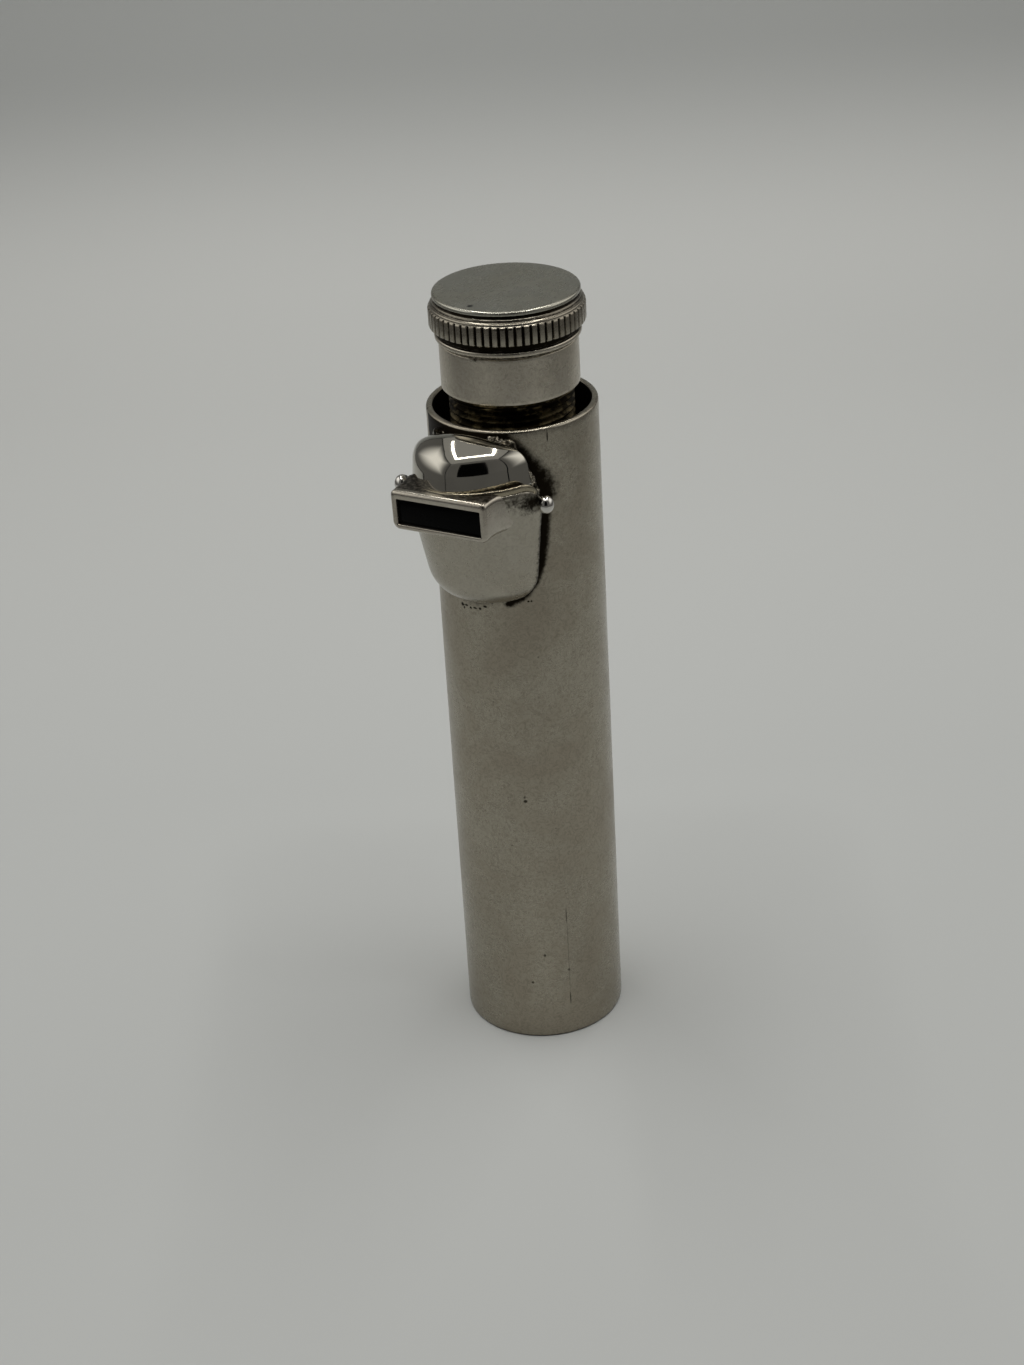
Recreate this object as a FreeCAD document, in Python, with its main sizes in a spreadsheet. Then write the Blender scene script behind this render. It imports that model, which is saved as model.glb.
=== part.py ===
import FreeCAD, Part
import os
import re
import Sketcher
from FreeCAD import Placement, Rotation, Vector

# Screw-cap pocket tube with a small welding-helmet ornament. Millimetres, +Z up.
# The origin is the centre of the foot, and the ornament faces -Y.

# Driving dimensions. Each becomes one aliased cell of the sheet, and every sub-part is bound to it.
DIMENSIONS = {
    # Outer tube and foot
    "tube_radius": 9.0,
    "tube_wall": 0.7,
    "tube_height": 75.4,
    "rim_rounding": 0.25,
    "foot_rounding": 0.3,
    "solder_gap": 0.03,
    "base_thickness": 1.2,
    # Vial inside the tube, and the rings that centre it
    "vial_radius": 6.5,
    "vial_wall": 0.4,
    "vial_floor": 0.5,
    "vial_top": 71.0,
    "vial_corner": 1.0,
    "ring_height": 0.8,
    "shoulder_ring_z": 69.6,
    "spacer_ring_height": 2.0,
    "spacer_ring_z": 4.0,
    # Threaded neck
    "neck_bore": 5.4,
    "spigot_bottom": 66.5,
    "flange_top": 71.8,
    "neck_top": 83.0,
    "neck_chamfer": 0.25,
    "thread_pitch": 0.75,
    "thread_root": 6.12,
    "thread_crest": 6.55,
    "root_width": 0.6,
    "crest_width": 0.1,
    "thread_start": 72.4,
    "thread_length": 10.0,
    "thread_embed": 0.04,
    "thread_clearance": 0.08,
    # Screw cap
    "skirt_bottom": 77.4,
    "skirt_radius": 7.23,
    "skirt_bore": 6.95,
    "skirt_top": 85.6,
    "skirt_chamfer": 0.12,
    "line_depth": 0.12,
    "line_bottom": 82.35,
    "line_top": 82.65,
    "bead_radius": 7.6,
    "bead_bottom": 82.7,
    "bead_top": 83.16,
    "bead_rounding": 0.2,
    "insert_bottom": 77.1,
    "insert_top": 82.9,
    "insert_lead": 0.45,
    "seal_radius": 6.75,
    "seal_bottom": 83.06,
    "seal_thickness": 1.0,
    "band_radius": 8.1,
    "band_bottom": 84.03,
    "knurl_top": 86.07,
    "knurl_count": 62,
    "knurl_depth": 0.3,
    "knurl_width": 0.28,
    "lip_radius": 7.9,
    "lip_top": 86.4,
    "step_radius": 7.65,
    "step_top": 86.75,
    "throat_radius": 7.4,
    "disc_radius": 7.63,
    "disc_bottom": 87.1,
    "cap_top": 87.57,
    "disc_rounding": 0.2,
    "plug_bottom": 84.25,
    # Helmet ornament. Its face and crown are turned about an upright axis in front of the tube's own.
    "helmet_axis": 6.6,
    "helmet_wall": 0.55,
    "face_radius": 8.3,
    "face_top": 70.2,
    "chin_radius": 6.2,
    "chin_z": 56.5,
    "chin_rounding": 4.2,
    "brow_radius": 8.4,
    "brow_bore": 7.2,
    "brow_height": 0.7,
    "brow_rounding": 0.25,
    "crown_radius": 7.65,
    "crown_top": 74.55,
    "crown_rounding": 2.9,
    "frame_half_width": 5.55,
    "frame_bottom": 66.5,
    "frame_top": 70.8,
    "frame_back": 11.8,
    "frame_front": 16.1,
    "frame_corner": 0.45,
    "frame_edge": 0.25,
    "window_half_width": 4.86,
    "window_bottom": 67.1,
    "window_top": 69.9,
    "window_lip": 0.3,
    "lens_margin": 0.24,
    "lens_thickness": 0.8,
    "backing_thickness": 0.5,
    "stud_radius": 0.85,
    "stud_offset": 8.5,
    "stud_z": 68.3,
    # Solder behind the helmet
    "solder_inner": 1.6,
    "solder_outer": 6.4,
    "solder_bottom": 68.6,
    "solder_top": 74.2,
    "left_solder_bottom": 71.2,
    "chin_solder_radius": 0.7,
    "chin_solder_z": 56.3,
}

doc = FreeCAD.newDocument("pocket_tube")
sheet = doc.addObject("Spreadsheet::Sheet", "Dimensions")
for row, (alias, value) in enumerate(DIMENSIONS.items(), start=1):
    sheet.set(f"A{row}", alias)
    sheet.set(f"B{row}", str(value))
    sheet.setAlias(f"B{row}", alias)
doc.recompute()

SUBPARTS = []


def linked(expression):
    """The expression with every driving dimension written as its cell of the sheet."""
    return re.sub(r"[a-z]\w+", lambda word: "Dimensions." + word.group(), expression)


def number(expression):
    """The expression's value in millimetres."""
    value = sheet.evalExpression(linked(expression))
    return float(getattr(value, "Value", value))


def bind(item, **expressions):
    """Bind properties of a document object to the sheet."""
    for name, expression in expressions.items():
        item.setExpression(name, linked(expression))


def keep(item, label):
    """Register a finished sub-part under its node name."""
    item.Label = label
    SUBPARTS.append(item)
    return item


def add_body(name):
    return doc.addObject("PartDesign::Body", name)


def origin_feature(body, role):
    return next(item for item in body.Origin.OriginFeatures if item.Role == role)


def add_sketch(body, name, plane):
    sketch = body.newObject("Sketcher::SketchObject", name)
    sketch.AttachmentSupport = [(origin_feature(body, plane), "")]
    sketch.MapMode = "FlatFace"
    return sketch


def hold(sketch, vertex, direction, expression):
    """Fix one coordinate of a line's first point to the sheet."""
    value = number(expression)
    axis = {"X": -2, "Y": -1}[direction]
    if abs(value) < 1e-9:
        sketch.addConstraint(Sketcher.Constraint("PointOnObject", vertex, 1, axis))
        return
    ends = (-1, 1, vertex, 1) if value > 0 else (vertex, 1, -1, 1)
    signed = expression if value > 0 else f"-({expression})"
    index = sketch.addConstraint(Sketcher.Constraint("Distance" + direction, *ends, abs(value)))
    sketch.setExpression(f"Constraints[{index}]", linked(signed))


def add_outline(sketch, corners):
    """Closed outline of straight runs. Both coordinates of every corner follow the sheet."""
    points = [Vector(number(across), number(up), 0) for across, up in corners]
    count = len(points)
    for index in range(count):
        line = Part.LineSegment(points[index], points[(index + 1) % count])
        sketch.addGeometry(line, False)
    for index in range(count):
        sketch.addConstraint(Sketcher.Constraint("Coincident", index, 2, (index + 1) % count, 1))
    for index, (across, up) in enumerate(corners):
        hold(sketch, index, "X", across)
        hold(sketch, index, "Y", up)


def add_revolution(body, corners):
    """Turn an outline of (radius, height) corners about the body's upright axis."""
    sketch = add_sketch(body, body.Name + "_profile", "XZ_Plane")
    add_outline(sketch, corners)
    turned = body.newObject("PartDesign::Revolution", body.Name + "_turned")
    turned.Profile = sketch
    turned.ReferenceAxis = (sketch, ["V_Axis"])
    turned.Angle = 360.0
    doc.recompute()
    return turned


def ring_corners(inner, outer, bottom, top):
    return [(inner, bottom), (outer, bottom), (outer, top), (inner, top)]


def circle_edges(shape, radius, height):
    """Names of the full circles of this radius at this height."""
    names = []
    for index, edge in enumerate(shape.Edges, start=1):
        curve = edge.Curve
        if not isinstance(curve, Part.Circle):
            continue
        if abs(curve.Radius - number(radius)) < 1e-4 and abs(curve.Center.z - number(height)) < 1e-4:
            names.append(f"Edge{index}")
    return names


def apply_feature(body, before, grows):
    """Rebuild the body, and stop if its newest feature didn't change the volume as it should."""
    doc.recompute()
    change = body.Shape.Volume - before
    if (change > 0) != grows or abs(change) < 1e-3:
        raise RuntimeError(f"{body.Tip.Name} changed the volume of {body.Name} by {change:.4f}")


def add_edge_treatment(body, kind, names, size):
    """Fillet or chamfer the named edges of the body's last feature."""
    base = body.Tip
    treated = body.newObject("PartDesign::" + kind, f"{body.Name}_{kind.lower()}")
    treated.Base = (base, names)
    bind(treated, **{"Radius" if kind == "Fillet" else "Size": size})
    doc.recompute()
    return treated


def treat_circle(body, kind, radius, height, size):
    names = circle_edges(body.Tip.Shape, radius, height)
    if not names:
        raise ValueError(f"{body.Name}: no circle of radius {radius} at {height}")
    return add_edge_treatment(body, kind, names, size)


def add_box(name, low, high):
    """A box between two corners given as expressions, bound to the sheet."""
    box = doc.addObject("Part::Box", name)
    bind(box, **{
        "Length": f"({high[0]}) - ({low[0]})",
        "Width": f"({high[1]}) - ({low[1]})",
        "Height": f"({high[2]}) - ({low[2]})",
        "Placement.Base.x": low[0],
        "Placement.Base.y": low[1],
        "Placement.Base.z": low[2],
    })
    return box


def add_cylinder(name, radius, bottom, top):
    cylinder = doc.addObject("Part::Cylinder", name)
    bind(cylinder, **{
        "Radius": radius,
        "Height": f"({top}) - ({bottom})",
        "Placement.Base.z": bottom,
    })
    return cylinder


def add_sphere(name, radius, across, forward, up):
    """A ball, forward being its distance in front of the tube's axis."""
    ball = doc.addObject("Part::Sphere", name)
    bind(ball, **{
        "Radius": radius,
        "Placement.Base.x": across,
        "Placement.Base.y": f"-({forward})",
        "Placement.Base.z": up,
    })
    return ball


def cut(name, base, tool):
    result = doc.addObject("Part::Cut", name)
    result.Base = base
    result.Tool = tool
    return result


def common(name, base, tool):
    result = doc.addObject("Part::Common", name)
    result.Base = base
    result.Tool = tool
    return result


def group(name, shapes):
    result = doc.addObject("Part::Compound", name)
    result.Links = shapes
    return result


# ---------------------------------------------------------------- tube body

def make_outer_tube():
    body = add_body("outer_tube")
    add_revolution(body, ring_corners("tube_radius - tube_wall", "tube_radius", "0", "tube_height"))
    treat_circle(body, "Fillet", "tube_radius", "tube_height", "rim_rounding")
    treat_circle(body, "Fillet", "tube_radius - tube_wall", "tube_height", "rim_rounding")
    treat_circle(body, "Fillet", "tube_radius", "0", "foot_rounding")
    return keep(body, "outer_tube")


def make_base_disc():
    """Closes the foot. It sits in the bore, flush with the end of the tube."""
    body = add_body("base_disc")
    edge = "tube_radius - tube_wall - solder_gap"
    add_revolution(body, ring_corners("0", edge, "0", "base_thickness"))
    return keep(body, "base_disc")


def make_inner_vial():
    """A deep-drawn cup that stands on the base disc."""
    body = add_body("inner_vial")
    bottom = "base_thickness + solder_gap"
    floor = bottom + " + vial_floor"
    bore = "vial_radius - vial_wall"
    corners = [("0", bottom), ("vial_radius", bottom), ("vial_radius", "vial_top"), (bore, "vial_top"),
               (bore, floor), ("0", floor)]
    add_revolution(body, corners)
    treat_circle(body, "Fillet", "vial_radius", bottom, "vial_corner")
    treat_circle(body, "Fillet", bore, floor, "vial_corner - vial_wall")
    return keep(body, "inner_vial")


def make_centring_ring(label, bottom, height):
    """A ring soldered between the vial and the outer tube's bore."""
    body = add_body(label)
    inner = "vial_radius + solder_gap"
    outer = "tube_radius - tube_wall - solder_gap"
    add_revolution(body, ring_corners(inner, outer, bottom, f"{bottom} + {height}"))
    return keep(body, label)


def add_thread(body, root, crest, root_width, crest_width, start, length):
    """Wind a right-hand ridge on the body, from its root radius to its crest radius."""
    sketch = add_sketch(body, body.Name + "_ridge_profile", "XZ_Plane")
    add_outline(sketch, [
        (root, f"{start} - ({root_width}) / 2"),
        (crest, f"{start} - ({crest_width}) / 2"),
        (crest, f"{start} + ({crest_width}) / 2"),
        (root, f"{start} + ({root_width}) / 2"),
    ])
    before = body.Shape.Volume
    ridge = body.newObject("PartDesign::AdditiveHelix", body.Name + "_ridge")
    ridge.Profile = sketch
    ridge.ReferenceAxis = (sketch, ["V_Axis"])
    ridge.Mode = "pitch-height-angle"
    ridge.LeftHanded = False
    bind(ridge, Pitch="thread_pitch", Height=length)
    apply_feature(body, before, grows=True)


FLANK_SPREAD = "(root_width - crest_width) / (thread_crest - thread_root)"


def make_threaded_neck():
    """A turned neck: a spigot in the vial, a flange on its lip, and the external thread above."""
    body = add_body("threaded_neck")
    spigot = "vial_radius - vial_wall - solder_gap"
    seat = "vial_top + solder_gap"
    add_revolution(body, [
        ("neck_bore", "spigot_bottom"), (spigot, "spigot_bottom"), (spigot, seat), ("vial_radius", seat),
        ("vial_radius", "flange_top"), ("thread_root", "flange_top"), ("thread_root", "neck_top"),
        ("neck_bore", "neck_top"),
    ])
    treat_circle(body, "Chamfer", "thread_root", "neck_top", "neck_chamfer")
    embedded_width = f"root_width + thread_embed * {FLANK_SPREAD}"
    add_thread(body, "thread_root - thread_embed", "thread_crest", embedded_width, "crest_width",
               "thread_start", "thread_length")
    return keep(body, "threaded_neck")


def make_cap_thread_insert():
    """The cap's internal thread. Its ridge lies midway between two turns of the neck's."""
    body = add_body("cap_thread_insert")
    major = "thread_crest + thread_clearance"
    minor = "thread_root + thread_clearance"
    outer = "skirt_bore - solder_gap"
    add_revolution(body, ring_corners(major, outer, "insert_bottom", "insert_top"))
    gap_at_minor = f"thread_pitch - root_width + thread_clearance * {FLANK_SPREAD}"
    ridge_crest = f"{gap_at_minor} - 2 * thread_clearance"
    ridge_root = f"{ridge_crest} + (thread_crest - thread_root + thread_embed) * {FLANK_SPREAD}"
    turns_below = round(number("insert_bottom + insert_lead - thread_start") / number("thread_pitch"))
    start = f"thread_start + {turns_below + 0.5} * thread_pitch"
    length = f"insert_top - insert_lead - ({start})"
    add_thread(body, major + " + thread_embed", minor, ridge_root, ridge_crest, start, length)
    return keep(body, "cap_thread_insert")


# ---------------------------------------------------------------- screw cap

def make_cap_skirt():
    """The smooth collar: a fine turned line, a rolled bead, and the sleeve inside the knurled band."""
    body = add_body("cap_skirt")
    line = "skirt_radius - line_depth"
    add_revolution(body, [
        ("skirt_bore", "skirt_bottom"), ("skirt_radius", "skirt_bottom"), ("skirt_radius", "line_bottom"),
        (line, "line_bottom"), (line, "line_top"), ("skirt_radius", "line_top"),
        ("skirt_radius", "bead_bottom"), ("bead_radius", "bead_bottom"), ("bead_radius", "bead_top"),
        ("skirt_radius", "bead_top"), ("skirt_radius", "skirt_top"), ("skirt_bore", "skirt_top"),
    ])
    treat_circle(body, "Fillet", "bead_radius", "bead_bottom", "bead_rounding")
    treat_circle(body, "Fillet", "bead_radius", "bead_top", "bead_rounding")
    treat_circle(body, "Chamfer", "skirt_radius", "skirt_bottom", "skirt_chamfer")
    return keep(body, "cap_skirt")


def make_knurled_band():
    """The grip ring: straight grooves round its rim, and a lip, a step and a throat turned above."""
    body = add_body("knurled_band")
    bore = "skirt_radius + solder_gap"
    add_revolution(body, [
        (bore, "band_bottom"), ("band_radius", "band_bottom"), ("band_radius", "knurl_top"),
        ("lip_radius", "knurl_top"), ("lip_radius", "lip_top"), ("step_radius", "lip_top"),
        ("step_radius", "step_top"), ("throat_radius", "step_top"),
        ("throat_radius", "disc_bottom - solder_gap"), (bore, "disc_bottom - solder_gap"),
    ])
    sketch = add_sketch(body, "groove_profile", "XY_Plane")
    floor = "band_radius - knurl_depth"
    add_outline(sketch, [
        (floor, "-knurl_width / 4"), ("band_radius + knurl_depth", "-knurl_width"),
        ("band_radius + knurl_depth", "knurl_width"), (floor, "knurl_width / 4"),
    ])
    before = body.Shape.Volume
    groove = body.newObject("PartDesign::Pocket", "knurl_groove")
    groove.Profile = sketch
    groove.Reversed = True
    bind(groove, Length="knurl_top")
    apply_feature(body, before, grows=False)
    before = body.Shape.Volume
    pattern = body.newObject("PartDesign::PolarPattern", "knurl_grooves")
    pattern.Originals = [groove]
    pattern.Axis = (origin_feature(body, "Z_Axis"), [""])
    pattern.Angle = 360.0
    bind(pattern, Occurrences="knurl_count")
    body.Tip = pattern
    apply_feature(body, before, grows=False)
    return keep(body, "knurled_band")


def make_cap_top_disc():
    """The flat top, with a stepped plug that fits the band and the skirt."""
    body = add_body("cap_top_disc")
    upper_plug = "skirt_radius"
    lower_plug = "skirt_bore - solder_gap"
    add_revolution(body, [
        ("0", "plug_bottom"), (lower_plug, "plug_bottom"), (lower_plug, "skirt_top + solder_gap"),
        (upper_plug, "skirt_top + solder_gap"), (upper_plug, "disc_bottom"), ("disc_radius", "disc_bottom"),
        ("disc_radius", "cap_top"), ("0", "cap_top"),
    ])
    treat_circle(body, "Fillet", "disc_radius", "cap_top", "disc_rounding")
    return keep(body, "cap_top_disc")


def make_cap_seal():
    """The loose liner. It lies on the neck's lip and is held in the cap by the thread insert."""
    body = add_body("cap_seal")
    add_revolution(body, ring_corners("0", "seal_radius", "seal_bottom", "seal_bottom + seal_thickness"))
    return keep(body, "cap_seal")


# ---------------------------------------------------------------- helmet ornament

def front_half(name, shape):
    """Keep what lies in front of the plane that touches the tube's front."""
    reach = "tube_radius * 2"
    front = add_box(name + "_front", ("-tube_radius", f"-({reach})", "chin_z - helmet_wall"),
                    ("tube_radius", "-tube_radius", "crown_top + helmet_wall"))
    return common(name + "_half", shape, front)


def turned_about_helmet_axis(name, corners, rounded):
    """A turned piece whose axis is the helmet's, with some of its circles rounded."""
    body = add_body(name + "_turned")
    add_revolution(body, corners)
    for radius, height, size in rounded:
        treat_circle(body, "Fillet", radius, height, size)
    body.Placement = Placement(Vector(0, -number("helmet_axis"), 0), Rotation())
    return body


def frame_clearance(name):
    """The space that the lens frame fills, with its solder gap."""
    return add_box(name + "_frame_space",
                   ("-frame_half_width - solder_gap", "-frame_front", "frame_bottom - solder_gap"),
                   ("frame_half_width + solder_gap", "-helmet_axis", "frame_top + solder_gap"))


def add_cup(name, shrink):
    """The face's solid shape, a cup that narrows to a rounded chin, drawn in by the given amount."""
    chin = f"chin_radius - ({shrink})"
    bottom = f"chin_z + {shrink}"
    corners = [("0", bottom), (chin, bottom), (f"face_radius - ({shrink})", "face_top"), ("0", "face_top")]
    return turned_about_helmet_axis(name, corners, [(chin, bottom, f"chin_rounding - ({shrink})")])


def make_face_shell():
    """A thin cup-shaped face, open behind and above, with the frame's window and two stud seats."""
    outer = add_cup("face_outer", "0")
    inner = add_cup("face_inner", "helmet_wall")
    face = front_half("face", cut("face_hollow", outer, inner))
    face = cut("face_window", face, frame_clearance("face"))
    seat = "stud_radius + solder_gap"
    for side, sign in (("left", "-"), ("right", "")):
        ball = add_sphere(side + "_stud_seat", seat, f"{sign}stud_offset", "tube_radius", "stud_z")
        face = cut(side + "_seated_face", face, ball)
    return keep(face, "mask_face_shell")


def make_brow_band():
    """The ridge between face and crown, broken where the lens frame rises through it."""
    bottom = "face_top + solder_gap"
    top = "face_top + brow_height"
    turned = turned_about_helmet_axis("brow", ring_corners("brow_bore", "brow_radius", bottom, top),
                                      [("brow_radius", bottom, "brow_rounding"),
                                       ("brow_radius", top, "brow_rounding")])
    band = cut("brow_band_shape", front_half("brow", turned), frame_clearance("brow"))
    return keep(band, "brow_band")


def make_crown():
    """A thin dome with a full round edge, open below and behind."""
    bottom = "face_top + brow_height + solder_gap"
    ceiling = "crown_top - helmet_wall"
    bore = "crown_radius - helmet_wall"
    corners = [(bore, bottom), ("crown_radius", bottom), ("crown_radius", "crown_top"), ("0", "crown_top"),
               ("0", ceiling), (bore, ceiling)]
    turned = turned_about_helmet_axis("crown", corners,
                                      [("crown_radius", "crown_top", "crown_rounding"),
                                       (bore, ceiling, "crown_rounding - helmet_wall")])
    return keep(front_half("crown", turned), "mask_crown")


def rectangle_corners(half_width, bottom, top):
    return [(f"-({half_width})", bottom), (half_width, bottom), (half_width, top),
            (f"-({half_width})", top)]


def make_lens_frame():
    """A rounded box frame that points forward. Its mouth has a lip, and the lens goes in behind."""
    body = add_body("lens_frame")
    outline = add_sketch(body, "frame_outline", "XZ_Plane")
    add_outline(outline, rectangle_corners("frame_half_width", "frame_bottom", "frame_top"))
    block = body.newObject("PartDesign::Pad", "frame_block")
    block.Profile = outline
    bind(block, Length="frame_front - frame_back")
    doc.recompute()
    depths = {
        "window": ("frame_front", "0"),
        "lens_pocket": ("frame_front - frame_back - window_lip", "lens_margin"),
    }
    for name, (depth, margin) in depths.items():
        opening = add_sketch(body, name + "_outline", "XZ_Plane")
        add_outline(opening, rectangle_corners(f"window_half_width + {margin}",
                                               f"window_bottom - {margin}", f"window_top + {margin}"))
        before = body.Shape.Volume
        pocket = body.newObject("PartDesign::Pocket", name)
        pocket.Profile = opening
        pocket.Reversed = True
        bind(pocket, Length=depth)
        apply_feature(body, before, grows=False)
    corners = [f"Edge{index}" for index, edge in enumerate(body.Tip.Shape.Edges, start=1)
               if is_frame_corner(edge)]
    add_edge_treatment(body, "Fillet", corners, "frame_corner")
    front = [f"Edge{index}" for index, edge in enumerate(body.Tip.Shape.Edges, start=1)
             if is_front_edge(edge)]
    add_edge_treatment(body, "Fillet", front, "frame_edge")
    body.Placement = Placement(Vector(0, -number("frame_back"), 0), Rotation())
    return keep(body, "lens_frame")


def is_frame_corner(edge):
    """True for the four outer edges that run from the frame's back to its front."""
    box = edge.BoundBox
    runs_through = abs(box.YLength - number("frame_front - frame_back")) < 1e-4
    return runs_through and abs(abs(box.Center.x) - number("frame_half_width")) < 1e-4


def is_front_edge(edge):
    """True for the edges round the outside of the frame's front face."""
    box = edge.BoundBox
    on_front = abs(box.YMin + number("frame_front - frame_back")) < 1e-4 and box.YLength < 1e-4
    outside = max(abs(box.XMin), abs(box.XMax)) > number("window_half_width + lens_margin")
    return on_front and outside


def make_window_plate(label, front, back):
    """A flat plate that fills the frame's pocket between two depths."""
    half_width = "window_half_width + lens_margin - solder_gap"
    plate = add_box(label, (f"-({half_width})", f"-({front})", "window_bottom - lens_margin + solder_gap"),
                    (half_width, f"-({back})", "window_top + lens_margin - solder_gap"))
    return keep(plate, label)


def make_stud(side, sign):
    ball = add_sphere(side + "_ball", "stud_radius", f"{sign}stud_offset", "tube_radius", "stud_z")
    return keep(ball, side + "_pivot_stud")


def make_solder():
    """Solder that fills the wedges between the helmet's back and the tube, and a bead under the chin."""
    back = "-tube_radius + solder_gap"
    right = add_box("right_solder_block", ("solder_inner", back, "solder_bottom"),
                    ("solder_outer", "-tube_radius / 2", "solder_top"))
    left = add_box("left_solder_block", ("-solder_outer", back, "left_solder_bottom"),
                   ("-solder_inner", "-tube_radius / 2", "solder_top"))
    chin = add_sphere("chin_bead", "chin_solder_radius", "0", "tube_radius", "chin_solder_z")
    chin = cut("chin_under_face", chin, add_cup("face_filled", "-solder_gap"))
    pieces = []
    for name, block in (("right", right), ("left", left), ("chin", chin)):
        tube = add_cylinder(name + "_tube_space", "tube_radius + solder_gap / 3", "0", "tube_height")
        pieces.append(cut(name + "_solder", block, tube))
    return keep(group("solder", pieces), "solder_fillets")


def check_and_export():
    """Stop on any failed object, then write one file for each sub-part."""
    failed = [item.Name for item in doc.Objects if "Invalid" in item.State or "Error" in item.State]
    if failed:
        raise RuntimeError("failed objects: " + ", ".join(failed))
    os.makedirs("parts", exist_ok=True)
    for item in SUBPARTS:
        shape = item.Shape
        if shape.isNull() or not shape.isValid() or not shape.Solids:
            raise RuntimeError("bad shape: " + item.Label)
        shape.exportStep(f"parts/{item.Label}.step")
        box = shape.BoundBox
        print(f"{item.Label:20s} solids {len(shape.Solids)} volume {shape.Volume:9.3f} "
              f"z {box.ZMin:7.3f} to {box.ZMax:7.3f}")


make_outer_tube()
make_base_disc()
make_inner_vial()
make_centring_ring("shoulder_ring", "shoulder_ring_z", "ring_height")
make_centring_ring("lower_spacer_ring", "spacer_ring_z", "spacer_ring_height")
make_threaded_neck()
make_cap_thread_insert()
make_cap_skirt()
make_knurled_band()
make_cap_top_disc()
make_cap_seal()
make_face_shell()
make_brow_band()
make_crown()
make_lens_frame()
make_window_plate("lens", "frame_front - window_lip - solder_gap",
                  "frame_front - window_lip - solder_gap - lens_thickness")
make_window_plate("lens_backing_plate", "frame_front - window_lip - 2 * solder_gap - lens_thickness",
                  "frame_front - window_lip - 2 * solder_gap - lens_thickness - backing_thickness")
make_stud("left", "-")
make_stud("right", "")
make_solder()
doc.recompute()
check_and_export()
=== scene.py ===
import math

import bmesh
import bpy
import numpy as np
from mathutils import Matrix, Vector, noise


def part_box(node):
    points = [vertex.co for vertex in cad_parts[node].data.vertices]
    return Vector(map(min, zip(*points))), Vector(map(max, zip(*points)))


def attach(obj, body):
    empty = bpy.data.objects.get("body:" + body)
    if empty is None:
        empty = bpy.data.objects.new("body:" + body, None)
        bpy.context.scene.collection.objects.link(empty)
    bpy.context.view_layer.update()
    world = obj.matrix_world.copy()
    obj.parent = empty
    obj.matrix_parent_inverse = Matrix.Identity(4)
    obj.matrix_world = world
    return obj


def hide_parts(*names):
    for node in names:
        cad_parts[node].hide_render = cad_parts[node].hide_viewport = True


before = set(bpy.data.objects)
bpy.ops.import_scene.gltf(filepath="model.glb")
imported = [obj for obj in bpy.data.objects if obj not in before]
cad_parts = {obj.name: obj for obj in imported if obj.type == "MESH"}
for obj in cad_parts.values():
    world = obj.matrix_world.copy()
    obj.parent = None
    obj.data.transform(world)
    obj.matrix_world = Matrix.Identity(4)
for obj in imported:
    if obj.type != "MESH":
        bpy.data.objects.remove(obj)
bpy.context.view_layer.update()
MM = 0.001


# ------------------------------------------------------------------ mesh tools

def lump(x, y, z, scale, seed=0.0):
    """Smooth repeatable noise of about -1 to 1 at a point given in millimetres."""
    return noise.noise(Vector((x * scale + seed, y * scale + seed * 0.7, z * scale - seed)))


def mesh_object(name, points, faces, sharp_degrees=38.0):
    """A mesh from points in millimetres, smooth except across edges sharper than the given angle."""
    mesh = bpy.data.meshes.new(name)
    mesh.from_pydata([tuple(c * MM for c in point) for point in points], [], faces)
    mesh.validate()
    obj = bpy.data.objects.new(name, mesh)
    bpy.context.scene.collection.objects.link(obj)
    fix = bmesh.new()
    fix.from_mesh(mesh)
    bmesh.ops.recalc_face_normals(fix, faces=fix.faces)
    fix.to_mesh(mesh)
    fix.free()
    mesh.shade_smooth()
    mesh.set_sharp_from_angle(angle=math.radians(sharp_degrees))
    return obj


def rounded_outline(corners, steps=5):
    """An outline of (radius, height, rounding) corners as (radius, height) points with real arcs."""
    points = []
    count = len(corners)
    for index, (x, z, size) in enumerate(corners):
        here = Vector((x, z))
        if size <= 0:
            points.append((x, z))
            continue
        before = (Vector(corners[index - 1][:2]) - here).normalized()
        after = (Vector(corners[(index + 1) % count][:2]) - here).normalized()
        half = before.angle(after) / 2
        reach = size / math.tan(half)
        centre = here + (before + after).normalized() * size / math.sin(half)
        start = here + before * reach - centre
        end = here + after * reach - centre
        sweep = start.angle_signed(end)
        for step in range(steps + 1):
            turned = Matrix.Rotation(-sweep * step / steps, 2) @ start
            points.append(tuple(centre + turned))
    return points


def subdivided(points, longest):
    """The closed outline with no run longer than the given length."""
    result = []
    count = len(points)
    for index, point in enumerate(points):
        nxt = points[(index + 1) % count]
        length = math.dist(point, nxt)
        pieces = max(1, math.ceil(length / longest))
        for step in range(pieces):
            share = step / pieces
            result.append((point[0] + (nxt[0] - point[0]) * share,
                           point[1] + (nxt[1] - point[1]) * share))
    return result


def lathe(name, outline, segments=192, shift=None):
    """Turn a closed outline of (radius, height) points about the Z axis. Points on the axis are shared."""
    points, faces, rings = [], [], []
    for radius, height in outline:
        if radius < 1e-6:
            rings.append([len(points)])
            points.append((0.0, 0.0, height))
            continue
        ring = []
        for step in range(segments):
            angle = 2 * math.pi * step / segments
            r, z = (radius, height) if shift is None else shift(radius, height, angle)
            ring.append(len(points))
            points.append((r * math.cos(angle), r * math.sin(angle), z))
        rings.append(ring)
    for index, ring in enumerate(rings):
        other = rings[(index + 1) % len(rings)]
        if len(ring) == 1 and len(other) == 1:
            continue
        for step in range(segments):
            after = (step + 1) % segments
            if len(ring) == 1:
                faces.append((ring[0], other[step], other[after]))
            elif len(other) == 1:
                faces.append((ring[step], other[0], ring[after]))
            else:
                faces.append((ring[step], other[step], other[after], ring[after]))
    return mesh_object(name, points, faces)


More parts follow.
